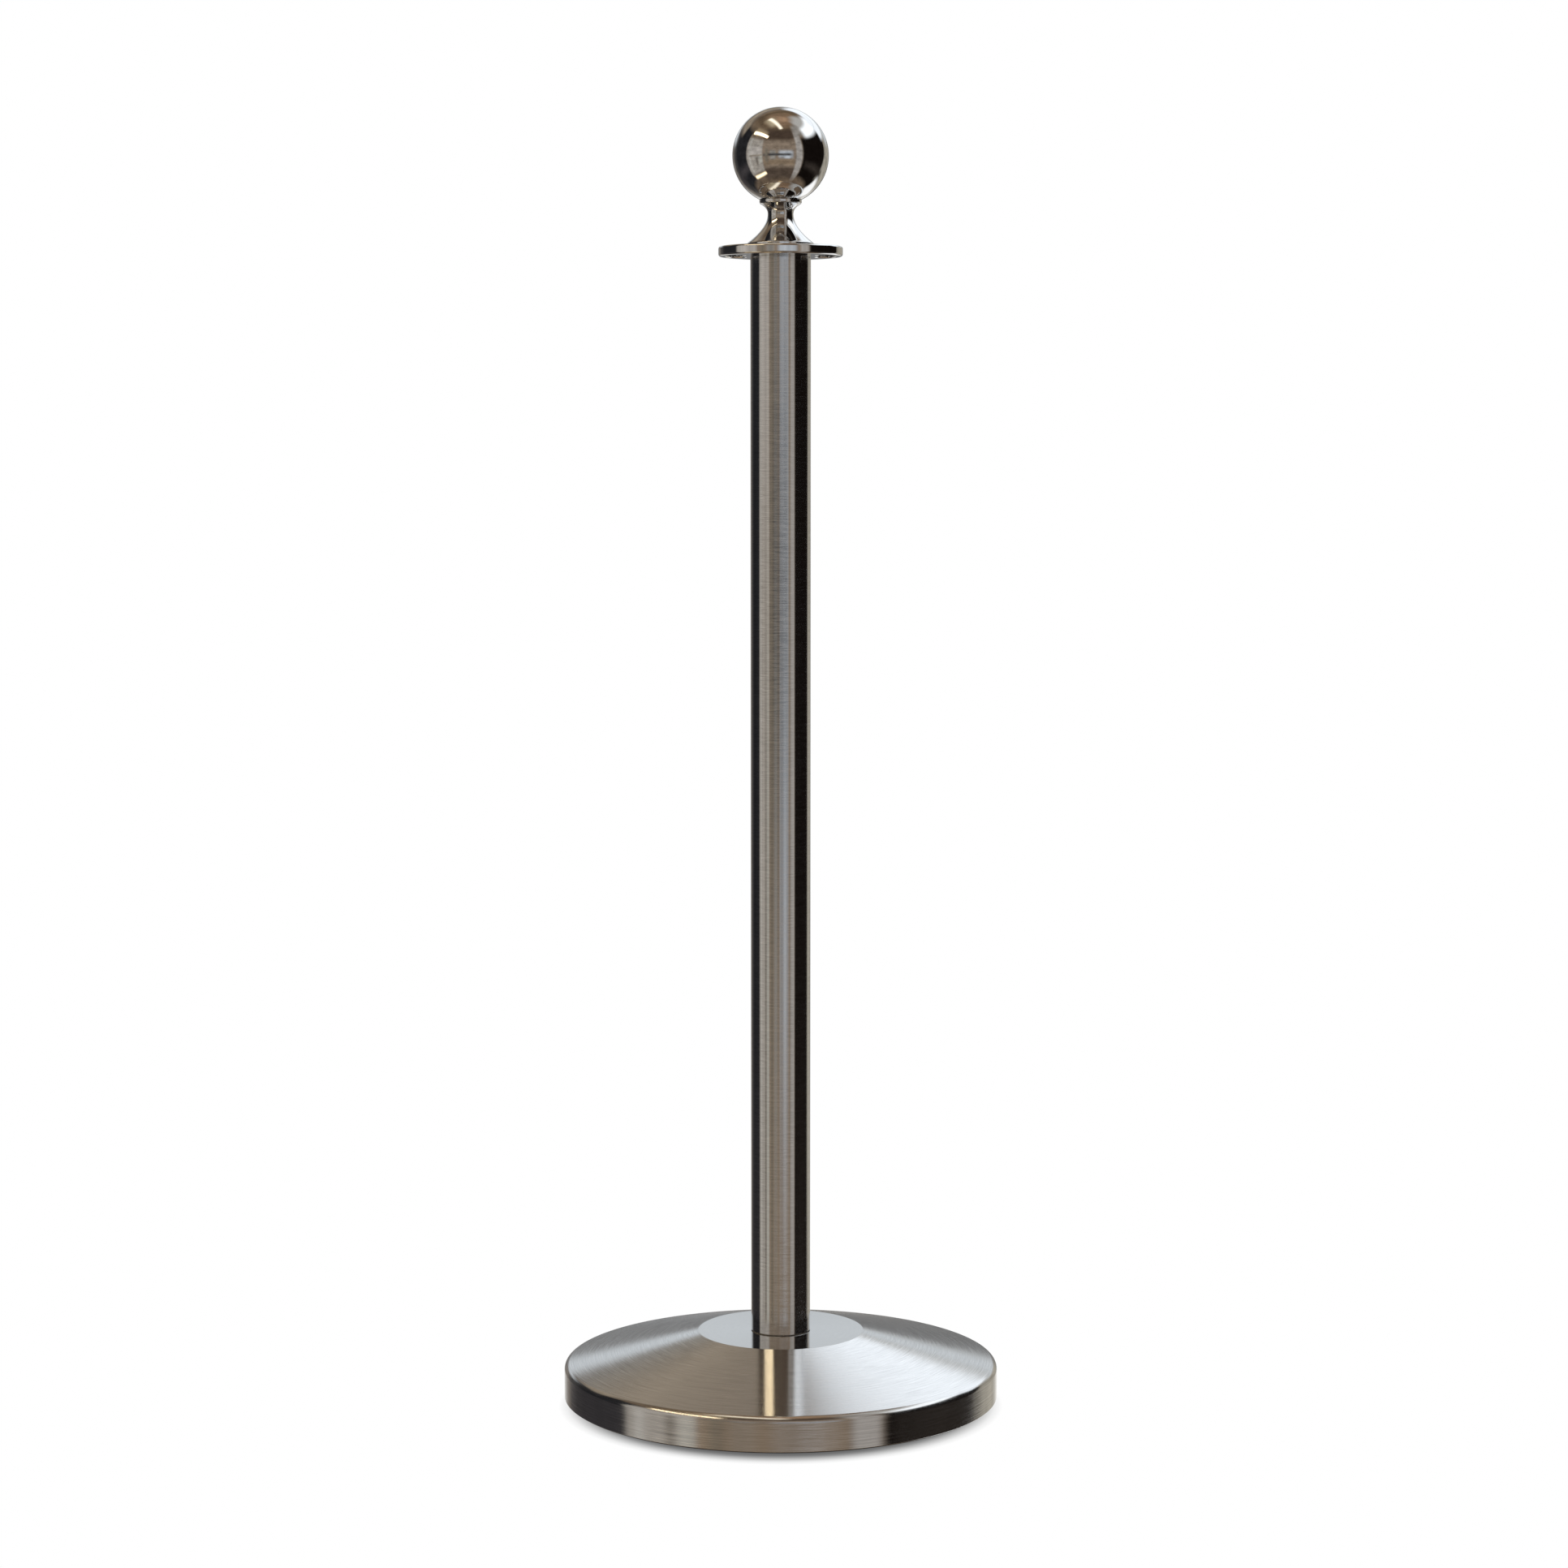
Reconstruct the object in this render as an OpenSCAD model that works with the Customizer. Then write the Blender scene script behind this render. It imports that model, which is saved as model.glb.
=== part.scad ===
// Rope barrier stanchion: a ball-topped post on a weighted round base.
// Millimetres, +Z up. The origin is on the floor, on the axis of the post, and -Y is the front.
// The head (ball, neck and stud) unscrews from the post and frees the rope ring, which can then turn.

/* [Base] */
// Outside diameter of the base cover
base_d = 330; // [280:1:380]
// Height of the corner where the cover's cone would meet its wall if it were sharp
rim_h = 26; // [24:0.5:32]
// Outside rounding of that corner
rim_round = 5; // [3:0.5:8]
// Diameter of the flat top of the cover
plateau_d = 125.5; // [100:0.5:140]
// Height of the flat top above the floor
plateau_h = 50.5; // [50:0.5:60]
// Sheet thickness of the spun cover
cover_t = 1; // [0.8:0.1:1.2]
// Gap between the foot of the cover's wall and the floor
cover_gap = 1; // [0.5:0.1:1.5]
// Thickness of the cast iron disc
weight_t = 14; // [12:0.5:16]
// Height of the boss under the middle of the casting, above its underside
boss_h = 26; // [24:0.5:28]
// Thickness of the rubber ring under the casting
rubber_t = 4; // [3:0.5:5]

/* [Post] */
// Outside diameter of the tube
tube_d = 45; // [42:0.5:50]
// Wall of the tube
tube_wall = 1.5; // [1.2:0.1:2]
// Height of the top of the tube above the floor
tube_top = 862.4; // [800:0.1:900]
// Length of each end plug inside the tube
plug_len = 30; // [26:1:40]

/* [Rope ring] */
// Outside diameter of the rope ring
ring_d = 92.5; // [86:0.5:100]
// Thickness of the rope ring
ring_t = 7.3; // [5:0.1:9]
// Rounding of the ring's outer edges
ring_round = 1.7; // [1:0.1:2.4]
// Width of the curved slots for the rope hooks
slot_w = 12.5; // [10:0.5:14]
// Radius of the line along the middle of the slots
slot_line_r = 35; // [34:0.5:36]
// Angle between the centres of the two round ends of a slot
slot_angle = 44; // [10:1:60]
// Number of slots
slot_count = 2; // [2:1:4]
// Turn of the ring at rest, anticlockwise from above
ring_turn = 0; // [-45:1:45]

/* [Head] */
// Diameter of the ball
ball_d = 71.6; // [66:0.2:80]
// Wall of the hollow ball
ball_wall = 1.2; // [1:0.1:2]
// Height of the flared neck
neck_h = 31.1; // [28:0.1:36]
// Diameter of the neck at its waist
waist_d = 19; // [18.6:0.2:22]
// Height of the waist above the foot of the neck
waist_h = 23.3; // [20:0.1:25]
// Diameter of the neck at its foot
neck_foot_d = 49.2; // [46:0.2:52]
// Height of the upright lip at the neck's foot
neck_lip_h = 2.2; // [1:0.1:4]
// Diameter of the neck at its top
neck_top_d = 30.8; // [28:0.2:31]
// Wall of the spun neck
neck_wall = 1.2; // [1:0.1:1.3]
// Diameter of the bead between the neck and the ball
bead_d = 31.4; // [31:0.2:34]
// Thickness of the bead
bead_t = 3; // [2.5:0.1:4]

/* [Fasteners] */
// Outside diameter of the threads of the stud and the base bolt
thread_d = 12; // [12]
// Depth to which the head's stud is screwed into the post, 10 turns of a 1.75 mm pitch
stud_grip = 17.5; // [17.5]
// Radial clearance of threads and pins that turn in their holes
running_gap = 0.05; // [0.03:0.01:0.08]

/* [Hidden] */
$fn = 96;
edge_steps = 8;      // segments in each rounded edge
curve_steps = 16;    // segments in each half of the neck's curve
eps = 0.5;           // overshoot of cutting shapes
thread_r = thread_d / 2;
loose_r = thread_r + 0.75;

// Base
base_r = base_d / 2;
plateau_r = plateau_d / 2;
cone_slope = atan2(plateau_h - rim_h, base_r - plateau_r);
rubber_in_r = base_r - 19;
rubber_lip_h = 6;
rubber_lip_w = 3.5;
weight_r = base_r - cover_t - rubber_lip_w;
weight_edge = 2;
boss_r = 34;
recess_r = 20;
recess_roof = rubber_t + 15;
spreader_r = 40;
spreader_t = 3;
spacer_r = 14;
seal_t = 0.6;
seal_in_r = tube_d / 2 - 3;
seal_out_r = tube_d / 2 - 0.4;

// Base bolt and its washers, from the roof of the recess downwards
washer_t = 2.5;
washer_r = 18;
lock_washer_t = 3;
lock_washer_r = 10.5;
lock_washer_split = 1.5;
bolt_head_h = 7.5;
bolt_head_flats = 18;
bolt_len = 65;
bolt_head_top = recess_roof - washer_t - lock_washer_t;

// Post
tube_foot = plateau_h + seal_t;
tube_in_r = tube_d / 2 - tube_wall;
spigot_r = 12;
spigot_h = ring_t - 0.3;
slot_chamfer = 1.2;

// Head
ring_top = tube_top + ring_t;
slip_t = 0.5;
slip_r = neck_foot_d / 2 - 0.4;
neck_foot = ring_top + slip_t;
lip_top = neck_foot + neck_lip_h;
neck_top = neck_foot + neck_h;
waist_z = neck_foot + waist_h;
foot_power = 1.88;
top_power = 2.48;
bead_top = neck_top + bead_t;
bead_round = 1.2;
ball_r = ball_d / 2;
ball_seat_r = bead_d / 2 - 0.1;
ball_centre = bead_top + sqrt(ball_r ^ 2 - ball_seat_r ^ 2);
boss_plug_r = 14;
boss_plug_h = 16;
stud_foot = tube_top + spigot_h - stud_grip;
stud_top = bead_top + boss_plug_h - 2;
sleeve_r = waist_d / 2 - neck_wall - 0.2;
polished = [0.80, 0.81, 0.83];
brushed = [0.66, 0.66, 0.65];
plated = [0.62, 0.63, 0.60];

// Points of an arc about centre, from angle a to angle b.
function arc(centre, r, a, b, steps = edge_steps) =
    [for (i = [0 : steps]) let (t = a + (b - a) * i / steps) centre + r * [cos(t), sin(t)]];

// Radius of the neck's outside at height z above its lip: a power curve on each side of the waist.
function neck_r(z) =
    z < waist_z
        ? waist_d / 2 + (neck_foot_d - waist_d) / 2 * ((waist_z - z) / (waist_z - lip_top)) ^ foot_power
        : waist_d / 2 + (neck_top_d - waist_d) / 2 * ((z - waist_z) / (neck_top - waist_z)) ^ top_power;

// A ring or a disc with a hole, standing on height z.
module ring(r_out, r_in, z, h)
    translate([0, 0, z])
        difference() {
            cylinder(r = r_out, h = h);
            translate([0, 0, -eps])
                cylinder(r = r_in, h = h + 2 * eps);
        }

// Outline of the cover's outside, or of its inside when it is drawn one sheet thickness in.
function cover_edge(inset) =
    let (
        wall_r = base_r - inset,
        top_z = plateau_h - inset,
        round_r = rim_round - inset,
        // the rounding's centre is rim_round from both the wall and the cone
        centre_r = base_r - rim_round,
        centre_z = rim_h + rim_round * tan(cone_slope) - rim_round / cos(cone_slope),
        // the cone's line, moved inwards with the sheet, meets the flat top here
        edge_r = plateau_r - inset * tan(cone_slope / 2)
    )
    concat(
        [[wall_r, cover_gap]],
        arc([centre_r, centre_z], round_r, 0, 90 - cone_slope),
        [[edge_r, top_z]]
    );

// Rubber ring with a lip that holds the casting and centres the cover.
module floor_ring()
    color([0.08, 0.08, 0.08])
        rotate_extrude()
            polygon([
                [rubber_in_r, 0.8], [rubber_in_r + 0.8, 0],
                [base_r - cover_t - 1, 0], [base_r - cover_t, 1],
                [base_r - cover_t, rubber_t + rubber_lip_h],
                [weight_r, rubber_t + rubber_lip_h],
                [weight_r, rubber_t], [rubber_in_r, rubber_t],
            ]);

// Cast iron disc with a boss in the middle and a recess for the bolt's head under it.
module base_weight()
    color([0.20, 0.20, 0.21])
        rotate_extrude()
            polygon([
                [recess_r, rubber_t], [weight_r, rubber_t],
                [weight_r, rubber_t + weight_t - weight_edge],
                [weight_r - weight_edge, rubber_t + weight_t],
                [boss_r + weight_edge, rubber_t + weight_t],
                [boss_r, rubber_t + weight_t + weight_edge],
                [boss_r, rubber_t + boss_h - weight_edge],
                [boss_r - weight_edge, rubber_t + boss_h],
                [loose_r, rubber_t + boss_h],
                [loose_r, recess_roof], [recess_r, recess_roof],
            ]);

// Spun steel cover: flat top, shallow cone and an upright wall, all one sheet.
module base_cover()
    color(brushed)
        rotate_extrude($fn = 180)
            polygon(concat(
                cover_edge(0),
                [[loose_r, plateau_h], [loose_r, plateau_h - cover_t]],
                [for (p = [len(cover_edge(0)) - 1 : -1 : 0]) cover_edge(cover_t)[p]]
            ));

// Steel disc that carries the cover's flat top.
module spreader_plate()
    color(plated)
        ring(spreader_r, loose_r, plateau_h - cover_t - spreader_t, spreader_t);

// Steel sleeve between the casting and the spreader plate.
module hub_spacer()
    color(plated)
        ring(spacer_r, loose_r, rubber_t + boss_h,
             plateau_h - cover_t - spreader_t - rubber_t - boss_h);

// Hexagon bolt that pulls the tube, the cover and the casting together.
module base_bolt()
    color(plated) {
        translate([0, 0, bolt_head_top - bolt_head_h])
            intersection() {
                cylinder(d = bolt_head_flats / cos(30), h = bolt_head_h, $fn = 6);
                cylinder(r1 = bolt_head_flats / 2 - 0.3, r2 = bolt_head_flats / 2 + 12, h = 12);
            }
        translate([0, 0, bolt_head_top - 1])
            cylinder(r = thread_r, h = bolt_len);
        translate([0, 0, bolt_head_top + bolt_len - 1])
            cylinder(r1 = thread_r, r2 = thread_r - 1, h = 1);
    }

// Split spring washer under the bolt's head.
module bolt_lock_washer()
    color(plated)
        difference() {
            ring(lock_washer_r, thread_r + 0.2, bolt_head_top, lock_washer_t);
            translate([0, -lock_washer_split / 2, bolt_head_top - eps])
                cube([lock_washer_r + eps, lock_washer_split, lock_washer_t + 2 * eps]);
        }

// Large flat washer against the roof of the recess.
module bolt_washer()
    color(plated)
        ring(washer_r, thread_r + 0.5, recess_roof - washer_t, washer_t);

// Thin gasket between the foot of the tube and the cover.
module foot_seal()
    color([0.06, 0.06, 0.06])
        ring(seal_out_r, seal_in_r, plateau_h, seal_t);

// Threaded plug welded into the foot of the tube.
module tube_foot_plug()
    color(plated)
        ring(tube_in_r, thread_r, tube_foot, plug_len);

// Brushed tube.
module post_tube()
    color(brushed)
        ring(tube_d / 2, tube_in_r, tube_foot, tube_top - tube_foot);

// Threaded plug welded into the top of the tube, with a spigot that the rope ring turns on.
module tube_top_plug()
    color(plated)
        difference() {
            union() {
                translate([0, 0, tube_top - plug_len])
                    cylinder(r = tube_in_r, h = plug_len);
                translate([0, 0, tube_top])
                    cylinder(r = spigot_r, h = spigot_h);
            }
            translate([0, 0, tube_top - plug_len - eps])
                cylinder(r = thread_r + running_gap, h = plug_len + spigot_h + 2 * eps);
        }

// Cutter for a slot's round end, chamfered at both mouths.
module slot_end(r) {
    translate([0, 0, -eps])
        cylinder(r = r, h = ring_t + 2 * eps);
    translate([0, 0, -eps])
        cylinder(r1 = r + slot_chamfer + eps, r2 = r, h = slot_chamfer + eps);
    translate([0, 0, ring_t - slot_chamfer])
        cylinder(r1 = r, r2 = r + slot_chamfer + eps, h = slot_chamfer + eps);
}

// Cutter for a curved slot through the rope ring, centred on +X.
module hook_slot() {
    half = slot_w / 2;
    mouth = half + slot_chamfer + eps;
    rotate([0, 0, -slot_angle / 2])
        rotate_extrude(angle = slot_angle)
            translate([slot_line_r, 0])
                polygon([
                    [mouth, -eps], [half, slot_chamfer],
                    [half, ring_t - slot_chamfer], [mouth, ring_t + eps],
                    [-mouth, ring_t + eps], [-half, ring_t - slot_chamfer],
                    [-half, slot_chamfer], [-mouth, -eps]
                ]);
    for (side = [-1, 1])
        rotate([0, 0, side * slot_angle / 2])
            translate([slot_line_r, 0, 0])
                slot_end(half);
}

// Polished disc with curved slots for the rope hooks.
module rope_ring()
    color(polished)
        translate([0, 0, tube_top])
            rotate([0, 0, ring_turn])
                difference() {
                    rotate_extrude()
                        polygon(concat(
                            [[spigot_r + running_gap, 0]],
                            arc([ring_d / 2 - ring_round, ring_round], ring_round, -90, 0),
                            arc([ring_d / 2 - ring_round, ring_t - ring_round], ring_round, 0, 90),
                            [[spigot_r + running_gap, ring_t]]
                        ));
                    for (i = [0 : slot_count - 1])
                        rotate([0, 0, 360 / slot_count * i])
                            hook_slot();
                }

// Nylon washer that lets the head be screwed down without marking the ring.
module slip_washer()
    color([0.85, 0.84, 0.80])
        ring(slip_r, thread_r + running_gap, ring_top, slip_t);

// Threaded rod fixed in the ball, which screws into the post.
module head_stud()
    color(plated) {
        translate([0, 0, stud_foot])
            cylinder(r1 = thread_r - 1, r2 = thread_r, h = 1);
        translate([0, 0, stud_foot + 1])
            cylinder(r = thread_r, h = stud_top - stud_foot - 1);
    }

// Sleeve on the stud, inside the neck, that carries the clamping load.
module neck_sleeve()
    color(plated)
        ring(sleeve_r, thread_r, neck_foot, neck_h);

// Spun trumpet-shaped neck, one sheet thick.
module flared_neck()
    color(polished)
        rotate_extrude()
            polygon(concat(
                [[neck_foot_d / 2, neck_foot]],
                [for (i = [0 : curve_steps])
                    let (z = lip_top + (waist_z - lip_top) * i / curve_steps) [neck_r(z), z]],
                [for (i = [1 : curve_steps])
                    let (z = waist_z + (neck_top - waist_z) * i / curve_steps) [neck_r(z), z]],
                [for (i = [0 : curve_steps])
                    let (z = neck_top - (neck_top - waist_z) * i / curve_steps)
                    [neck_inside(z), z]],
                [for (i = [1 : curve_steps])
                    let (z = waist_z - (waist_z - lip_top) * i / curve_steps)
                    [neck_inside(z), z]],
                [[neck_foot_d / 2 - neck_wall, lip_top - neck_wall],
                [neck_foot_d / 2 - neck_wall, neck_foot]]
            ));

// Radius of the neck's inside at height z: the sheet looks wider, cut level, where it slopes.
function neck_inside(z) =
    let (slope = (neck_r(z + 0.01) - neck_r(z - 0.01)) / 0.02)
    neck_r(z) - neck_wall * sqrt(1 + slope ^ 2);

// Rounded collar between the neck and the ball.
module neck_bead()
    color(polished)
        rotate_extrude()
            polygon(concat(
                [[thread_r, neck_top]],
                arc([bead_d / 2 - bead_round, neck_top + bead_round], bead_round, -90, 0),
                arc([bead_d / 2 - 0.6, bead_top - 0.6], 0.6, 0, 90),
                [[thread_r, bead_top]]
            ));

// Threaded boss brazed into the mouth of the ball.
module ball_boss()
    color(plated)
        ring(boss_plug_r, thread_r, bead_top, boss_plug_h);

// Hollow polished ball, open where the boss goes in.
module finial_ball()
    color(polished)
        difference() {
            translate([0, 0, ball_centre])
                sphere(r = ball_r);
            translate([0, 0, ball_centre])
                sphere(r = ball_r - ball_wall);
            translate([0, 0, bead_top - ball_r])
                cylinder(r = ball_r, h = ball_r);
            translate([0, 0, bead_top - eps])
                cylinder(r = boss_plug_r, h = 6);
        }

floor_ring();
base_weight();
base_cover();
spreader_plate();
hub_spacer();
base_bolt();
bolt_lock_washer();
bolt_washer();
foot_seal();
tube_foot_plug();
post_tube();
tube_top_plug();
rope_ring();
slip_washer();
head_stud();
neck_sleeve();
flared_neck();
neck_bead();
ball_boss();
finial_ball();
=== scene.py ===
"""Looks of the rope barrier stanchion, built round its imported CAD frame. Metres, +Z up, front towards -Y."""

import math

import bmesh
import bpy
from mathutils import Matrix, Vector


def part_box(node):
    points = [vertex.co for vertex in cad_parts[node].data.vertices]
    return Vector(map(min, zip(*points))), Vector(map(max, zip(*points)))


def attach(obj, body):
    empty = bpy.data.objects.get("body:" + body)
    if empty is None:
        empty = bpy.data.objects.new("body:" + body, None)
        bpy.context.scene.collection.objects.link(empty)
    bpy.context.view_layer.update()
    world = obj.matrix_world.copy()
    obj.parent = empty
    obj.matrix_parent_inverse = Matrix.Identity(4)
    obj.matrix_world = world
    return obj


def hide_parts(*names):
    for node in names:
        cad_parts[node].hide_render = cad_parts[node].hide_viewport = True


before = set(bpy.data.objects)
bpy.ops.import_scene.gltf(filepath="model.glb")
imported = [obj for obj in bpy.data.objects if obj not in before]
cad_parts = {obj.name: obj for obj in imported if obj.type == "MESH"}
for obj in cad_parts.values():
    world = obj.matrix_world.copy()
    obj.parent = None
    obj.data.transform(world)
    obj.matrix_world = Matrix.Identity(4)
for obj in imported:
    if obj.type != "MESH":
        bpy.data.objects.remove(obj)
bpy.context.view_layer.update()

MM = 0.001
FULL_TURN = 2 * math.pi


# Node helpers

def add(tree, kind, inputs=None, **settings):
    """Adds a node, sets its properties and fills its inputs with numbers or links."""
    node = tree.nodes.new(kind)
    for name, value in settings.items():
        setattr(node, name, value)
    for key, value in (inputs or {}).items():
        if isinstance(value, bpy.types.NodeSocket):
            tree.links.new(value, node.inputs[key])
        else:
            node.inputs[key].default_value = value
    return node


def calc(tree, operation, *values):
    """Output of one Math node."""
    return add(tree, "ShaderNodeMath", dict(enumerate(values)), operation=operation).outputs[0]


def mix(tree, share, a, b, blend="MIX"):
    """Output of one colour Mix node."""
    node = add(tree, "ShaderNodeMix", data_type="RGBA", blend_type=blend)
    for index, value in ((0, share), (6, a), (7, b)):
        if isinstance(value, bpy.types.NodeSocket):
            tree.links.new(value, node.inputs[index])
        else:
            node.inputs[index].default_value = value
    return node.outputs[2]


def spread(tree, value, low, high, out_low, out_high, kind="LINEAR"):
    """Output of one Map Range node."""
    return add(tree, "ShaderNodeMapRange", {
        "Value": value, "From Min": low, "From Max": high, "To Min": out_low, "To Max": out_high,
    }, interpolation_type=kind).outputs["Result"]


def position(tree):
    """Each point's place on its object, in metres."""
    return add(tree, "ShaderNodeTexCoord").outputs["Object"]


def noise(tree, vector, detail=3.0, rough=0.6, scale=1.0):
    """Output of one Noise Texture node."""
    node = add(tree, "ShaderNodeTexNoise", {
        "Vector": vector, "Scale": scale, "Detail": detail, "Roughness": rough,
    })
    return node.outputs["Fac"]


def ramp(tree, value, stops):
    """Output of a colour ramp with (place, grey level or colour) stops."""
    node = add(tree, "ShaderNodeValToRGB", {0: value})
    elements = node.color_ramp.elements
    while len(elements) < len(stops):
        elements.new(1.0)
    for element, (place, colour) in zip(elements, stops):
        element.position = place
        element.color = colour if isinstance(colour, tuple) else (colour, colour, colour, 1)
    return node.outputs[0]


def linear(colour, share=1.0):
    """A colour given as the 0 to 255 numbers of a screen, as linear light, divided by share."""
    def one(c):
        """One channel, by the sRGB curve."""
        c = c / 255
        return c / 12.92 if c <= 0.04045 else ((c + 0.055) / 1.055) ** 2.4

    return tuple(one(c) / share for c in colour) + (1.0,)


# Camera: in front, at about three quarters of the post's height, looking a little down

CAMERA_PLACE = (2.53 * MM, -2641.6 * MM, 707.3 * MM)
CAMERA_TILT = math.radians(84.839)
# Sensor width and focal length in millimetres, as the camera counts them
SENSOR = 36
LENS = 80.81


def make_camera():
    """A camera that sees the post as the photograph does, with colours kept as they are."""
    camera_data = bpy.data.cameras.new("camera")
    camera_data.sensor_width = SENSOR
    camera_data.lens = LENS
    camera = bpy.data.objects.new("camera", camera_data)
    camera.location = CAMERA_PLACE
    camera.rotation_euler = (CAMERA_TILT, 0, 0)
    bpy.context.scene.collection.objects.link(camera)
    bpy.context.scene.camera = camera
    bpy.context.scene.view_settings.view_transform = "Standard"


make_camera()


# Studio: walls, flags, softboxes and lamps round the object, placed and coloured so that the
# steel mirrors about what it mirrors in the photograph

# Share of the light that polished steel sends back: the colours below are those seen in the steel
STEEL_SHARE = 0.72
# Walls and softboxes: name, then azimuth, half width and edge, then elevation, half height and edge,
# all in degrees, then lean, in degrees of azimuth per degree of elevation, brightness and colour.
# Azimuth 0 is in front of the object, and positive azimuths are to its right.
WALLS = {
    # in front
    "dark_ceiling": ((-5, 45, 10), (45, 14, 8), 0, 1, (66, 54, 45)),
    "dark_floor": ((-5, 46, 8), (-44, 14, 8), 0, 1, (74, 63, 54)),
    "front_wall": ((-8, 46, 6), (0, 30, 6), 0, 1, (124, 110, 96)),
    "front_low": ((-4, 40, 6), (-19, 6, 4), 0, 1, (122, 106, 88)),
    "front_left_board": ((-19, 7, 4), (-2, 10, 4), 0, 1, (134, 130, 124)),
    "front_window": ((13, 17, 5), (-1, 8, 5), 0, 1, (164, 169, 175)),
    "front_window_pane": ((16, 7, 4), (-5, 5, 3), 0, 1, (174, 180, 187)),
    "front_line": ((-8, 36, 8), (-1.8, 2.8, 2.6), 0, 1, (62, 62, 62)),
    "front_post": ((-34, 4, 4), (-2, 16, 6), 0, 1, (104, 97, 86)),
    # left
    "left_wall": ((-70, 25, 3), (-3, 34, 4), 0, 1, (146, 140, 132)),
    "left_wall_high": ((-66, 19, 5), (7, 8, 5), 0, 1, (164, 158, 152)),
    "left_wall_edge": ((-80, 3, 3), (-2, 32, 5), 0, 1, (164, 160, 153)),
    "left_gap": ((-60, 3, 3), (-14, 8, 4), 0, 1, (104, 98, 90)),
    "left_board": ((-50, 4, 3), (-10, 7, 3), 0, 1, (160, 158, 149)),
    "left_line": ((-62, 18, 4), (-1.6, 1.2, 1.6), 0, 1, (124, 114, 102)),
    "left_flag": ((-119.5, 30, 3), (-2, 44, 5), 0, 1, (32, 32, 34)),
    # rear
    "rear_left_wall": ((-178, 30, 26), (0, 46, 8), 0, 1, (106, 102, 98)),
    "rear_left_high": ((-152, 29, 6), (34, 7, 6), 0, 1, (142, 130, 114)),
    # right and rear right
    "right_ceiling": ((56, 12, 6), (52, 12, 6), 0, 1, (136, 131, 125)),
    "right_column": ((46, 8, 3), (-2, 50, 16), 0, 1, (148, 143, 138)),
    "right_flag": ((93, 37, 3), (-7, 41, 5), 0, 1, (16, 12, 10)),
    "rear_right_wall": ((155, 28, 4), (-2, 26, 6), 0.35, 1, (146, 141, 130)),
    # over the flags and between the rear walls
    "left_flag_low": ((-119.5, 29, 5), (-20, 6, 6), 0, 1, (56, 53, 54)),
    "right_flag_low": ((98, 34, 5), (-20, 6, 6), 0, 1, (46, 41, 37)),
    "rear_middle": ((180, 16, 8), (-1, 12, 3), 0, 1, (108, 108, 108)),
}
SOFTBOXES = {
    "rear_strip": ((180, 34, 12), (14.6, 4, 3), 0, 1, (186, 191, 195)),
    "rear_low": ((179, 16, 12), (-20, 8, 5), 0, 1, (232, 230, 226)),
    "right_glow": ((104, 34, 14), (62, 11, 8), 0, 1, (166, 164, 160)),
    "right_softbox": ((107, 35, 10), (43, 9.8, 5), 0, 1.15, (246, 251, 255)),
    "rear_right_softbox": ((151, 25.5, 5), (33.5, 13, 4), 0, 1, (240, 246, 252)),
    "right_softbox_seam": ((140, 40, 4), (34.5, 0.6, 0.8), 0, 1, (214, 219, 224)),
    "right_low_softbox": ((143, 17, 5), (-35, 12, 5), 0, 1, (248, 248, 248)),
}
# Strip lamps: name, azimuth and elevation of both ends, half width and edge in degrees, brightness and colour
LAMPS = {
    "over_glow": ((-112, 71), (-30, 68), 7, 6, 1, (168, 154, 128)),
    "lamp_over": ((-114, 72), (3, 61), 3.0, 2.6, 1.3, (255, 243, 220)),
    "left_glow": ((-84, 45), (-42, 43), 6, 5, 1, (150, 132, 106)),
    "lamp_left": ((-85, 41), (-36, 38), 2.4, 2, 4.5, (255, 232, 190)),
    "lamp_left_low": ((-86, -42), (-44, -41), 2.8, 2.6, 2, (248, 226, 186)),
    "floor_glow": ((-125, -72), (2, -69), 3.4, 4, 1.4, (220, 190, 142)),
}
# The room behind the panels: elevation in degrees and colour
ROOM = [
    (-90, (120, 105, 92)), (-60, (92, 78, 64)), (-30, (100, 88, 76)), (0, (120, 110, 100)),
    (30, (112, 98, 84)), (60, (96, 80, 62)), (90, (150, 122, 98)),
]


def inside(tree, value, middle, half, edge, wraps):
    """1 where value is within half of middle, falling to 0 over a soft edge."""
    away = calc(tree, "SUBTRACT", value, middle)
    if wraps:
        away = calc(tree, "WRAP", away, 180.0, -180.0)
    away = calc(tree, "ABSOLUTE", away)
    return spread(tree, away, half + edge, half - edge, 0.0, 1.0, "SMOOTHSTEP")


def toward(azimuth, elevation):
    """The direction with this azimuth and elevation, in degrees."""
    azimuth, elevation = math.radians(azimuth), math.radians(elevation)
    flat = math.cos(elevation)
    return Vector((flat * math.sin(azimuth), -flat * math.cos(azimuth), math.sin(elevation)))


def dot(tree, vector, fixed):
    """Dot product of a vector output and a fixed vector."""
    node = add(tree, "ShaderNodeVectorMath", {0: vector, 1: tuple(fixed)}, operation="DOT_PRODUCT")
    return node.outputs["Value"]


def strip_lamp(tree, direction, start, end, half, edge):
    """1 on a straight strip between two directions, falling to 0 over a soft edge."""
    start, end = toward(*start), toward(*end)
    middle = (start + end).normalized()
    side = start.cross(end).normalized()
    off = calc(tree, "DEGREES", calc(tree, "ARCSINE", dot(tree, direction, side)))
    along = calc(tree, "ARCTAN2", dot(tree, direction, side.cross(middle)), dot(tree, direction, middle))
    reach = math.degrees(start.angle(end)) / 2
    ends = inside(tree, calc(tree, "DEGREES", along), 0.0, reach, edge, False)
    return calc(tree, "MULTIPLY", inside(tree, off, 0.0, half, edge, False), ends)


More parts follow.
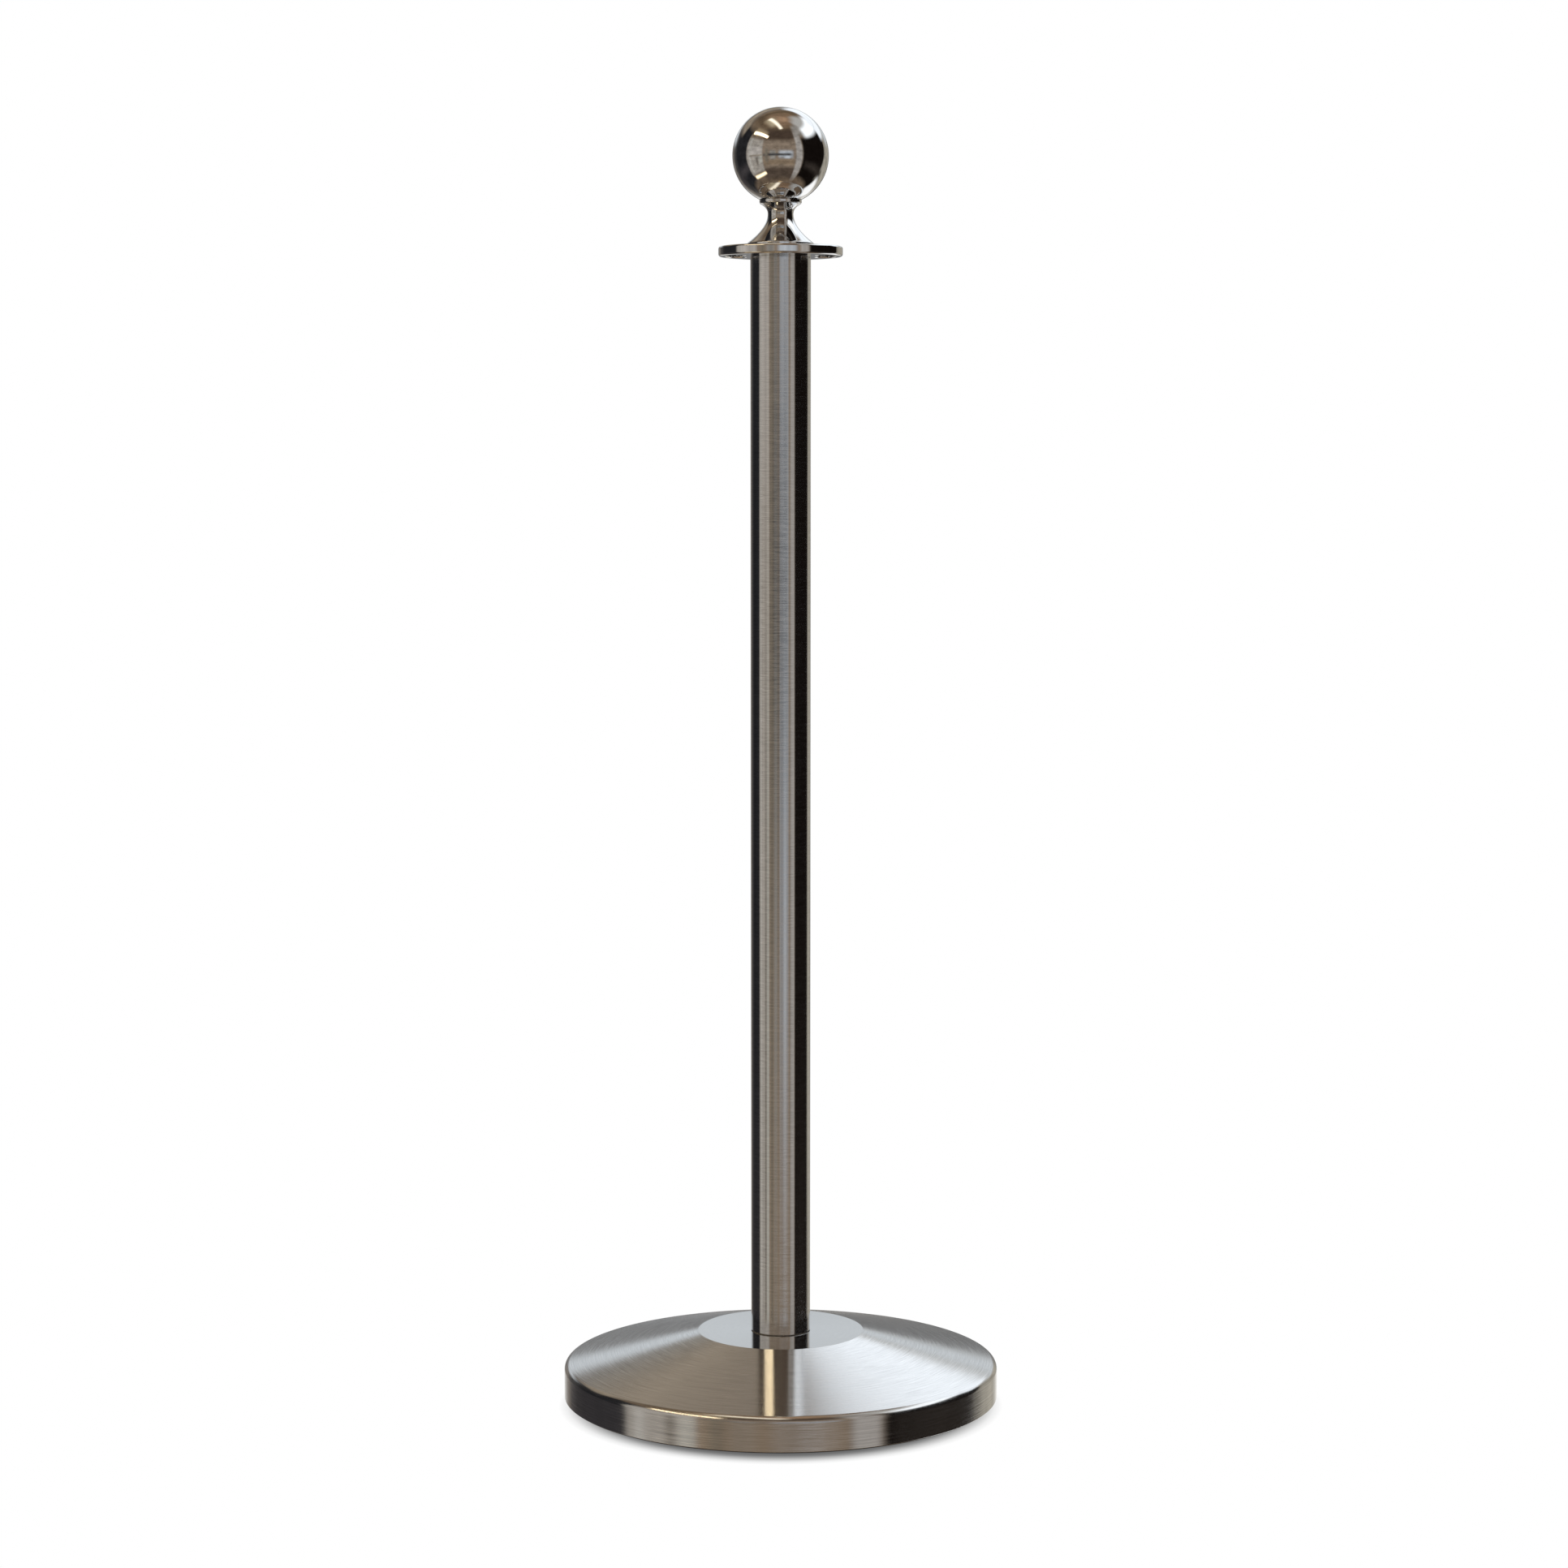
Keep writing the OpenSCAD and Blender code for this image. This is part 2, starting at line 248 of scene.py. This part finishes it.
def make_studio():
    """The world: the room, its walls, the softboxes and the lamps, each by its direction."""
    world = bpy.data.worlds.new("studio")
    bpy.context.scene.world = world
    world.use_nodes = True
    tree = world.node_tree
    tree.nodes.clear()
    direction = add(tree, "ShaderNodeTexCoord").outputs["Generated"]
    parts = add(tree, "ShaderNodeSeparateXYZ", {0: direction})
    x, y, z = parts.outputs[0], parts.outputs[1], parts.outputs[2]
    azimuth = calc(tree, "DEGREES", calc(tree, "ARCTAN2", x, calc(tree, "MULTIPLY", y, -1.0)))
    elevation = calc(tree, "DEGREES", calc(tree, "ARCSINE", z))
    height = spread(tree, elevation, -90.0, 90.0, 0.0, 1.0)
    light = ramp(tree, height, [((level + 90) / 180, linear(colour, STEEL_SHARE)) for level, colour in ROOM])

    def hang(light, panels):
        """The light with these panels in front of it, the later ones before the earlier ones."""
        for across, up, lean, power, colour in panels.values():
            upright = calc(tree, "MULTIPLY_ADD", elevation, -lean, azimuth) if lean else azimuth
            wide, high = inside(tree, upright, *across, True), inside(tree, elevation, *up, False)
            light = mix(tree, calc(tree, "MULTIPLY", wide, high), light, linear(colour, STEEL_SHARE / power))
        return light

    light = hang(light, WALLS)
    # a furnished room is never even: darker and lighter patches, wider than they are high
    flatter = add(tree, "ShaderNodeVectorMath", {0: direction, 1: (1.0, 1.0, 2.2)}, operation="MULTIPLY")
    uneven = spread(tree, noise(tree, flatter.outputs[0], 4.0, 0.6, 4.0), 0.3, 0.7, 0.7, 1.3)
    light = mix(tree, 1.0, light, uneven, "MULTIPLY")
    light = hang(light, SOFTBOXES)
    for start, end, half, edge, power, colour in LAMPS.values():
        share = strip_lamp(tree, direction, start, end, half, edge)
        light = mix(tree, share, light, linear(colour, STEEL_SHARE / power))
    background = add(tree, "ShaderNodeBackground", {"Color": light})
    add(tree, "ShaderNodeOutputWorld", {"Surface": background.outputs[0]})


make_studio()


# Turned pieces: steps round the axis, unless a piece needs more or fewer

AROUND = 256


def lathe(name, outline, around=AROUND, closed=True):
    """A turned piece: the outline's (radius, height) points, in metres, spun round the Z axis.
    The outline runs anticlockwise when it is drawn with the radius to the right and the height up."""
    mesh = bpy.data.meshes.new(name)
    points, rows = [], []
    for radius, height in outline:
        if radius < 1e-9:
            rows.append([len(points)] * around)
            points.append((0, 0, height))
            continue
        rows.append([len(points) + i for i in range(around)])
        for i in range(around):
            angle = FULL_TURN * i / around
            points.append((radius * math.cos(angle), radius * math.sin(angle), height))
    faces = []
    pairs = list(zip(rows, rows[1:]))
    if closed:
        pairs.append((rows[-1], rows[0]))
    for low, high in pairs:
        for i in range(around):
            j = (i + 1) % around
            corners = [low[i], low[j], high[j], high[i]]
            face = [c for k, c in enumerate(corners) if c not in corners[:k]]
            if len(face) > 2:
                faces.append(face)
    mesh.from_pydata(points, [], faces)
    return finish_mesh(name, mesh)


def finish_mesh(name, mesh, sharp=30):
    """Smooth shading with sharp corners kept, and flat faces that stay flat next to small roundings."""
    mesh.polygons.foreach_set("use_smooth", [True] * len(mesh.polygons))
    mesh.set_sharp_from_angle(angle=math.radians(sharp))
    piece = bpy.data.objects.new(name, mesh)
    bpy.context.scene.collection.objects.link(piece)
    even = piece.modifiers.new("even_shading", "WEIGHTED_NORMAL")
    even.mode = "FACE_AREA"
    even.weight = 100
    even.keep_sharp = True
    return piece


def arc(centre, radius, start, end, steps):
    """Points of an arc about centre, between two angles in degrees."""
    angles = [math.radians(start + (end - start) * i / steps) for i in range(steps + 1)]
    return [(centre[0] + radius * math.cos(a), centre[1] + radius * math.sin(a)) for a in angles]


# Light left on the floor from the base's edge forwards: distance in millimetres and share of the light.
# No lamp throws this shade: it is painted on the floor, in front only, as the photograph shows it.
SHADOW_REACH = 30
SHADOW = [(0, 0.13), (5, 0.18), (9, 0.28), (13.5, 0.48), (18, 0.68), (22, 0.86), (28, 1.0)]
SHADOW_SHIFT = 24 * MM


# Stage: a pale seamless floor that curves up into the backdrop, seen only by the camera

def make_stage():
    """The floor and the dome over it, with the base's shade painted on the floor. They shine by
    themselves, and only the camera sees them, so the steel doesn't mirror them."""
    room = 7.0
    bend = 2.5
    outline = [(0.0, 0.0), (0.6, 0.0), (room - bend, 0.0)]
    outline += arc((room - bend, bend), bend, -90, 0, 16)[1:]
    outline += arc((0.0, bend), room, 0, 90, 24)[1:]
    stage = lathe("stage_floor", outline, 96, closed=False)
    material = bpy.data.materials.new("pale_floor")
    material.use_nodes = True
    tree = material.node_tree
    tree.nodes.clear()
    # the shade is the base's circle moved forwards, with a soft edge
    parts = add(tree, "ShaderNodeSeparateXYZ", {0: position(tree)})
    forwards = calc(tree, "ADD", parts.outputs[1], SHADOW_SHIFT)
    across = calc(tree, "MULTIPLY", parts.outputs[0], parts.outputs[0])
    away = calc(tree, "SQRT", calc(tree, "ADD", across, calc(tree, "MULTIPLY", forwards, forwards)))
    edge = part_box("floor_ring")[1].x - SHADOW_SHIFT
    beyond = spread(tree, away, edge, edge + SHADOW_REACH * MM, 0.0, 1.0)
    level = ramp(tree, beyond, [(reach / SHADOW_REACH, share) for reach, share in SHADOW])
    light = add(tree, "ShaderNodeEmission", {"Color": level})
    add(tree, "ShaderNodeOutputMaterial", {"Surface": light.outputs[0]})
    stage.data.materials.append(material)
    stage.visible_glossy = False
    stage.visible_diffuse = False
    stage.visible_shadow = False
    stage.visible_transmission = False


make_stage()


# Materials

def surface(name, colour, metallic, roughness, anisotropy=0.0):
    """A principled material; returns it with its node tree and its shader."""
    material = bpy.data.materials.new(name)
    material.use_nodes = True
    tree = material.node_tree
    shader = tree.nodes["Principled BSDF"]
    shader.inputs["Base Color"].default_value = (*colour, 1)
    shader.inputs["Metallic"].default_value = metallic
    shader.inputs["Roughness"].default_value = roughness
    shader.inputs["Anisotropic"].default_value = anisotropy
    return material, tree, shader


def turned_grain(tree, along, across):
    """Coordinates for marks left by turning or brushing on a lathe: slow round the axis, fast along
    the outline. along and across are the number of noise cells per radian and per metre."""
    parts = add(tree, "ShaderNodeSeparateXYZ", {0: position(tree)})
    x, y, z = parts.outputs[0], parts.outputs[1], parts.outputs[2]
    radius = calc(tree, "SQRT", calc(tree, "ADD", calc(tree, "MULTIPLY", x, x), calc(tree, "MULTIPLY", y, y)))
    way = calc(tree, "SUBTRACT", radius, z)
    turned = add(tree, "ShaderNodeCombineXYZ", {
        0: calc(tree, "MULTIPLY", calc(tree, "DIVIDE", x, radius), along),
        1: calc(tree, "MULTIPLY", calc(tree, "DIVIDE", y, radius), along),
        2: calc(tree, "MULTIPLY", way, across),
    })
    return turned.outputs[0]


def bump(tree, shader, height, strength, distance):
    """Raises the shader's surface by a height output."""
    node = add(tree, "ShaderNodeBump", {"Height": height, "Strength": strength, "Distance": distance})
    tree.links.new(node.outputs[0], shader.inputs["Normal"])


# How much of the brushing's streaks comes from the fine rings and how much from the broad ones
FINE_SHARE = 0.86
BROAD_SHARE = 0.14


def brushed_steel(name, colour, roughness, anisotropy, cells_round, cells_across, contrast, depth):
    """Steel brushed while it turned: fine uneven rings, which spread reflections across the brushing only."""
    material, tree, shader = surface(name, colour, 1.0, roughness, anisotropy)
    shader.inputs["Anisotropic Rotation"].default_value = 0.25
    tangent = add(tree, "ShaderNodeTangent", direction_type="RADIAL", axis="Z")
    tree.links.new(tangent.outputs[0], shader.inputs["Tangent"])
    fine = noise(tree, turned_grain(tree, cells_round, cells_across), 3.0, 0.7)
    broad = noise(tree, turned_grain(tree, cells_round * 0.4, cells_across * 0.3), 2.0, 0.5)
    streaks = calc(
        tree, "ADD", calc(tree, "MULTIPLY", fine, FINE_SHARE), calc(tree, "MULTIPLY", broad, BROAD_SHARE))
    shade = spread(tree, streaks, 0.36, 0.64, 1.0 - contrast, 1.0 + contrast)
    tinted = mix(tree, 1.0, (*colour, 1), shade, "MULTIPLY")
    tree.links.new(tinted, shader.inputs["Base Color"])
    rough = spread(tree, streaks, 0.36, 0.64, roughness * 0.7, roughness * 1.3)
    tree.links.new(rough, shader.inputs["Roughness"])
    bump(tree, shader, fine, 0.25, depth)
    return material


def polished_steel():
    """Mirror polish with faint, patchy buffing haze."""
    material, tree, shader = surface("polished_steel", (0.72, 0.72, 0.72), 1.0, 0.03)
    haze = noise(tree, position(tree), 3.0, 0.6, 60.0)
    rough = spread(tree, haze, 0.35, 0.75, 0.035, 0.08)
    tree.links.new(rough, shader.inputs["Roughness"])
    return material


def plated_steel():
    """Zinc plated turned steel: fine rings from the lathe under a dull, slightly patchy plating."""
    material, tree, shader = surface("plated_steel", (0.62, 0.63, 0.60), 1.0, 0.35)
    rings = noise(tree, turned_grain(tree, 2.0, 900.0), 2.0, 0.6)
    patches = noise(tree, position(tree), 4.0, 0.6, 180.0)
    tint = ramp(tree, patches, [
        (0.35, (0.50, 0.52, 0.49, 1)), (0.55, (0.63, 0.64, 0.60, 1)), (0.72, (0.70, 0.69, 0.62, 1)),
    ])
    turned = mix(tree, 1.0, tint, spread(tree, rings, 0.3, 0.7, 0.86, 1.1), "MULTIPLY")
    tree.links.new(turned, shader.inputs["Base Color"])
    tree.links.new(spread(tree, patches, 0.3, 0.7, 0.25, 0.45), shader.inputs["Roughness"])
    bump(tree, shader, rings, 0.4, 0.00004)
    return material


def cast_iron():
    """Sand-cast iron under black paint: a lumpy skin with small pits and a few scuffs down to grey metal."""
    material, tree, shader = surface("cast_iron", (0.03, 0.03, 0.033), 0.0, 0.55)
    place = position(tree)
    sand = noise(tree, place, 5.0, 0.65, 420.0)
    lumps = noise(tree, place, 2.0, 0.5, 60.0)
    scuffs = spread(tree, noise(tree, place, 6.0, 0.75, 35.0), 0.66, 0.74, 0.0, 1.0)
    paint = ramp(tree, lumps, [(0.35, (0.020, 0.020, 0.022, 1)), (0.65, (0.045, 0.044, 0.046, 1))])
    tree.links.new(mix(tree, scuffs, paint, (0.16, 0.155, 0.15, 1)), shader.inputs["Base Color"])
    tree.links.new(spread(tree, sand, 0.3, 0.7, 0.42, 0.70), shader.inputs["Roughness"])
    skin = calc(tree, "ADD", sand, calc(tree, "MULTIPLY", lumps, 2.0))
    bump(tree, shader, skin, 0.6, 0.0002)
    return material


def rubber():
    """Moulded rubber: matt, very fine grain, with a little dust and bloom."""
    material, tree, shader = surface("rubber", (0.024, 0.024, 0.025), 0.0, 0.7)
    place = position(tree)
    grain = noise(tree, place, 3.0, 0.6, 1500.0)
    bloom = noise(tree, place, 4.0, 0.6, 45.0)
    tint = ramp(tree, bloom, [(0.35, (0.018, 0.018, 0.019, 1)), (0.7, (0.052, 0.050, 0.048, 1))])
    tree.links.new(tint, shader.inputs["Base Color"])
    tree.links.new(spread(tree, grain, 0.3, 0.7, 0.6, 0.85), shader.inputs["Roughness"])
    bump(tree, shader, grain, 0.4, 0.00005)
    return material


def gasket():
    """Thin pressed fibre: grey brown with short fibres."""
    material, tree, shader = surface("gasket", (0.20, 0.19, 0.18), 0.0, 0.8)
    fibres = noise(tree, position(tree), 5.0, 0.7, 700.0)
    tint = ramp(tree, fibres, [(0.35, (0.13, 0.12, 0.11, 1)), (0.65, (0.27, 0.26, 0.24, 1))])
    tree.links.new(tint, shader.inputs["Base Color"])
    bump(tree, shader, fibres, 0.5, 0.00005)
    return material


def nylon():
    """Natural nylon: waxy off-white, a little cloudy, with fine turning marks."""
    material, tree, shader = surface("nylon", (0.75, 0.74, 0.70), 0.0, 0.4)
    shader.inputs["Subsurface Weight"].default_value = 0.1
    shader.inputs["Subsurface Scale"].default_value = 0.001
    cloud = noise(tree, position(tree), 3.0, 0.6, 150.0)
    rings = noise(tree, turned_grain(tree, 2.0, 1200.0), 2.0, 0.6)
    tint = ramp(tree, cloud, [(0.35, (0.68, 0.66, 0.60, 1)), (0.65, (0.78, 0.77, 0.73, 1))])
    tree.links.new(tint, shader.inputs["Base Color"])
    tree.links.new(spread(tree, rings, 0.3, 0.7, 0.32, 0.5), shader.inputs["Roughness"])
    bump(tree, shader, rings, 0.3, 0.00003)
    return material


STEEL_COLOUR = (0.70, 0.70, 0.70)
# Brushed steels: colour, roughness, anisotropy, cells of grain per radian and per metre, contrast and
# depth in metres
materials = {
    "polished_steel": polished_steel(),
    "tube_steel": brushed_steel("tube_steel", STEEL_COLOUR, 0.13, 0.9, 2.4, 2000.0, 0.14, 0.00001),
    "cover_steel": brushed_steel("cover_steel", STEEL_COLOUR, 0.16, 0.95, 5.0, 2400.0, 0.19, 0.000004),
    "cover_flat_steel": brushed_steel(
        "cover_flat_steel", STEEL_COLOUR, 0.10, 0.5, 4.0, 2000.0, 0.06, 0.000001),
    "plated_steel": plated_steel(),
    "cast_iron": cast_iron(),
    "rubber": rubber(),
    "gasket": gasket(),
    "nylon": nylon(),
}


def dress(piece, slot, look=None):
    """Gives a piece the material of its slot, or another look of the same slot."""
    piece.data.materials.clear()
    piece.data.materials.append(materials[look or slot])


# Pieces

def span(node):
    """Outer radius, foot and top of a turned CAD node."""
    low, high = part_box(node)
    return high.x, low.z, high.z


def stand_in(piece, node, body, slot):
    """Puts a piece in the place of a CAD node, on its body and with its material."""
    dress(piece, slot)
    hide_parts(node)
    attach(piece, body)


def make_ball():
    """The hollow ball, open at its foot where the boss goes in."""
    radius, foot, top = span("finial_ball")
    wall = 1.2 * MM
    centre = top - radius
    mouth = math.degrees(math.asin((foot - centre) / radius))
    inner = radius - wall
    inner_mouth = math.degrees(math.asin((foot - centre) / inner))
    outline = arc((0, centre), radius, mouth, 90, 128)
    outline[-1] = (0.0, top)
    inside_arc = arc((0, centre), inner, 90, inner_mouth, 48)
    inside_arc[0] = (0.0, top - wall)
    stand_in(lathe("ball", outline + inside_arc), "finial_ball", "head", "polished_steel")


def make_bead():
    """The rounded collar under the ball."""
    radius, foot, top = span("neck_bead")
    low_round = 1.2 * MM
    high_round = 0.6 * MM
    bore = 6 * MM
    outline = [(bore, foot)]
    outline += arc((radius - low_round, foot + low_round), low_round, -90, 0, 16)
    outline += arc((radius - high_round, top - high_round), high_round, 0, 90, 12)
    outline += [(bore, top)]
    stand_in(lathe("bead", outline), "neck_bead", "head", "polished_steel")


def make_neck():
    """The spun neck: an upright lip, a curve in to the waist and a curve out to the bead."""
    foot_r, foot, top = span("flared_neck")
    lip = foot + 2.2 * MM
    waist_r = 9.5 * MM
    waist = foot + 23.3 * MM
    top_r = 15.4 * MM
    wall = 1.2 * MM
    edge = 0.2 * MM
    steps = 48

    def radius(z):
        """Outside radius at a height above the lip."""
        if z < waist:
            return waist_r + (foot_r - waist_r) * ((waist - z) / (waist - lip)) ** 1.88
        return waist_r + (top_r - waist_r) * ((z - waist) / (top - waist)) ** 2.48

    def inner(z):
        """Inside radius: the sheet is wider, cut level, where it slopes."""
        slope = (radius(min(z + 1e-6, top)) - radius(max(z - 1e-6, lip))) / 2e-6
        return radius(z) - wall * math.hypot(1, slope)

    heights = [lip + (waist - lip) * i / steps for i in range(steps)]
    heights += [waist + (top - waist) * i / steps for i in range(steps + 1)]
    roll = 0.4 * MM
    outline = [(foot_r - wall + edge, foot), (foot_r - edge, foot), (foot_r, foot + edge)]
    outline += arc((foot_r - roll, lip - roll), roll, 0, 50, 6)
    outline += [(radius(z), z) for z in heights[1:]]
    outline += [(inner(z), z) for z in reversed(heights)]
    outline += [(foot_r - wall, lip - wall), (foot_r - wall, foot + edge)]
    stand_in(lathe("neck", outline), "flared_neck", "head", "polished_steel")


def slot_outline(line_r, half_width, half_angle):
    """A curved slot centred on +X: its points and the directions out of it, all the way round."""
    spots = []
    side_steps = 40
    end_steps = 24

    def along(start, end, side):
        """One long side of the slot."""
        for i in range(side_steps):
            angle = start + (end - start) * i / side_steps
            way = Vector((math.cos(angle), math.sin(angle)))
            spots.append((way * line_r + way * side * half_width, way * side))

    def round_end(angle, start):
        """The half circle at one end of the slot."""
        middle = Vector((math.cos(angle), math.sin(angle))) * line_r
        for i in range(end_steps):
            turn = start + math.pi * i / end_steps
            way = Vector((math.cos(turn), math.sin(turn)))
            spots.append((middle + way * half_width, way))

    along(-half_angle, half_angle, 1)
    round_end(half_angle, half_angle)
    along(half_angle, -half_angle, -1)
    round_end(-half_angle, -half_angle + math.pi)
    return spots


def make_ring():
    """The rope ring: a flat polished disc with rounded edges and two curved slots with rolled mouths."""
    outer, foot, top = span("rope_ring")
    bore = 12.3 * MM
    edge = 1.7 * MM
    mouth = 1.4 * MM
    slot_line_r = 35 * MM
    slot_half_width = 6.25 * MM
    slot_half_angle = math.radians(22)
    shape = bmesh.new()
    normals = []

    def row(points, height, ways, lift):
        """One loop of corners at a height, with normals that lean from sideways to straight up by lift."""
        corners = [shape.verts.new((x, y, height)) for x, y in points]
        tilt = math.radians(lift)
        normals.extend((x * math.cos(tilt), y * math.cos(tilt), math.sin(tilt)) for x, y in ways)
        return corners

    def wall(rows, flip):
        """Faces between the loops of corners."""
        for low, high in zip(rows, rows[1:]):
            for i in range(len(low)):
                j = (i + 1) % len(low)
                corners = (low[i], low[j], high[j], high[i])
                shape.faces.new(corners[::-1] if flip else corners)

    turns = [FULL_TURN * i / AROUND for i in range(AROUND)]
    around = [(math.cos(turn), math.sin(turn)) for turn in turns]
    steps = 10
    lifts = [-90 + 90 * i / steps for i in range(steps + 1)] + [90 * i / steps for i in range(steps + 1)]
    # the loops round the flat underside and the flat top
    rims = [[], []]
    sides = []
    for place, lift in enumerate(lifts):
        tilt = math.radians(lift)
        reach = outer - edge + edge * math.cos(tilt)
        height = (foot + edge if place <= steps else top - edge) + edge * math.sin(tilt)
        sides.append(row([(x * reach, y * reach) for x, y in around], height, around, lift))
    wall(sides, False)
    rims[0].append(sides[0])
    rims[1].append(sides[-1])
    inwards = [(-x, -y) for x, y in around]
    bores = [row([(x * bore, y * bore) for x, y in around], height, inwards, lift)
             for height, lift in ((foot, -90), (foot, 0), (top, 0), (top, 90))]
    wall(bores[1:3], True)
    rims[0].append(bores[0])
    rims[1].append(bores[3])
    for half_turn in (0, math.pi):
        spots = slot_outline(slot_line_r, slot_half_width, slot_half_angle)
        turned = Matrix.Rotation(half_turn, 2)
        rows = []
        for place, lift in enumerate(lifts):
            tilt = math.radians(lift)
            grow = mouth - mouth * math.cos(tilt)
            height = (foot + mouth if place <= steps else top - mouth) + mouth * math.sin(tilt)
            points = [turned @ (spot + way * grow) for spot, way in spots]
            rows.append(row(points, height, [turned @ -way for spot, way in spots], lift))
        wall(rows, True)
        rims[0].append(rows[0])
        rims[1].append(rows[-1])
    for loops, up in zip(rims, (-1, 1)):
        edges = []
        for loop in loops:
            for i in range(len(loop)):
                pair = (loop[i], loop[(i + 1) % len(loop)])
                edges.append(shape.edges.get(pair) or shape.edges.new(pair))
        filled = bmesh.ops.triangle_fill(shape, edges=edges, use_beauty=True, normal=(0, 0, up))
        for face in filled["geom"]:
            if isinstance(face, bmesh.types.BMFace) and face.normal.z * up < 0:
                face.normal_flip()
    shape.verts.index_update()
    mesh = bpy.data.meshes.new("ring")
    shape.to_mesh(mesh)
    shape.free()
    mesh.polygons.foreach_set("use_smooth", [True] * len(mesh.polygons))
    mesh.normals_split_custom_set_from_vertices(normals)
    ring = bpy.data.objects.new("ring", mesh)
    bpy.context.scene.collection.objects.link(ring)
    stand_in(ring, "rope_ring", "ring", "polished_steel")


def make_tube():
    """The tube, with small chamfers at both ends."""
    radius, foot, top = span("post_tube")
    bore = radius - 1.5 * MM
    edge = 0.12 * MM
    steps = 24
    outline = [(bore + edge, foot), (radius - edge, foot), (radius, foot + edge)]
    outline += [(radius, foot + (top - foot) * i / steps) for i in range(1, steps)]
    outline += [(radius, top - edge), (radius - edge, top), (bore + edge, top), (bore, top - edge)]
    outline += [(bore, foot + edge)]
    stand_in(lathe("tube", outline), "post_tube", "post", "tube_steel")


def make_cover():
    """The base cover: flat top, cone and upright wall in one sheet, with rounded corners."""
    radius, foot, top = span("base_cover")
    sheet = 1.0 * MM
    flat_r = 62.75 * MM
    corner = 26 * MM
    slope = math.atan2(top - corner, radius - flat_r)
    rim = 5 * MM
    rim_z = corner + rim * math.tan(slope) - rim / math.cos(slope)
    shoulder = 3 * MM
    hole = 6.75 * MM
    tilt = math.degrees(slope)

    def skin(inset, steps):
        """The outline over the rim and up the cone to the flat top, this far inside the sheet."""
        edge_r = flat_r - inset * math.tan(slope / 2)
        back = (shoulder - inset) * math.tan(slope / 2)
        points = arc((radius - rim, rim_z), rim - inset, 0, 90 - tilt, steps)
        points += arc((edge_r - back, top - shoulder), shoulder - inset, 90 - tilt, 90, steps // 2)
        return points

    hem = 0.3 * MM
    outline = [(radius - sheet + hem, foot), (radius - hem, foot), (radius, foot + hem)]
    outline += skin(0.0, 20)
    outline += [(hole, top), (hole, top - sheet)]
    outline += reversed(skin(sheet, 10))
    outline += [(radius - sheet, foot + hem)]
    cover = lathe("cover", outline, 384)
    stand_in(cover, "base_cover", "post", "cover_steel")
    cover.data.materials.append(materials["cover_flat_steel"])
    # only the flat top's faces look straight up, and they are brushed less
    straight_up = 0.99999
    for face in cover.data.polygons:
        face.material_index = 1 if face.normal.z > straight_up else 0


def make_stud():
    """The head's stud: one groove winds up it, 1.75 mm a turn, and its foot is chamfered."""
    radius, foot, top = span("head_stud")
    pitch = 1.75 * MM
    depth = 1.07 * MM
    tip = 1.0 * MM
    around = 48
    profile = [(0.0, 0.0), (0.125, 0.0), (0.4375, depth), (0.6875, depth)]
    turns = math.ceil((top - foot) / pitch) + 2
    shape = bmesh.new()
    columns = []
    for i in range(around + 1):
        share = i / around
        way = (math.cos(FULL_TURN * share), math.sin(FULL_TURN * share))
        column = []
        for turn in range(turns):
            for place, cut in profile:
                height = foot + (turn - 1.5 + place + share) * pitch
                reach = min(radius - cut, radius - tip + max(height - foot, 0.0))
                column.append(shape.verts.new((way[0] * reach, way[1] * reach, height)))
        columns.append(column)
    for left, right in zip(columns, columns[1:]):
        for k in range(len(left) - 1):
            shape.faces.new((left[k], right[k], right[k + 1], left[k + 1]))
    bmesh.ops.remove_doubles(shape, verts=shape.verts, dist=0.001 * MM)
    for height, outwards in ((foot, -1), (top, 1)):
        everything = shape.verts[:] + shape.edges[:] + shape.faces[:]
        cut = bmesh.ops.bisect_plane(
            shape, geom=everything, plane_co=(0, 0, height), plane_no=(0, 0, outwards), clear_outer=True)
        rim = [edge for edge in cut["geom_cut"] if isinstance(edge, bmesh.types.BMEdge)]
        bmesh.ops.triangle_fill(shape, edges=rim, use_beauty=True, normal=(0, 0, outwards))
    bmesh.ops.recalc_face_normals(shape, faces=shape.faces)
    mesh = bpy.data.meshes.new("stud")
    shape.to_mesh(mesh)
    shape.free()
    stand_in(finish_mesh("stud", mesh), "head_stud", "head", "plated_steel")


def make_rubber_ring():
    """The rubber ring under the base: a lip round the casting and four grooves in its sole."""
    outer, foot, top = span("floor_ring")
    bore = 146 * MM
    lip_r = 160.5 * MM
    sole = 4 * MM
    groove = 0.8 * MM
    outline = [(bore, foot + groove), (bore + groove, foot)]
    for i in range(4):
        start = bore + (3 + 3.5 * i) * MM
        outline += [(start, foot), (start + 0.3 * MM, foot + groove)]
        outline += [(start + 1.2 * MM, foot + groove), (start + 1.5 * MM, foot)]
    outline += [(outer - 1 * MM, foot), (outer, foot + 1 * MM), (outer, top)]
    outline += [(lip_r, top), (lip_r, foot + sole), (bore, foot + sole)]
    stand_in(lathe("rubber_ring", outline), "floor_ring", "post", "rubber")


make_ball()
make_bead()
make_neck()
make_stud()
make_ring()
make_tube()
make_cover()
make_rubber_ring()

NODE_SLOTS = {
    "foot_seal": "rubber",
    "base_weight": "cast_iron",
    "slip_washer": "nylon",
}
for name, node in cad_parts.items():
    if not node.hide_render:
        dress(node, NODE_SLOTS.get(name, "plated_steel"), "gasket" if name == "foot_seal" else None)
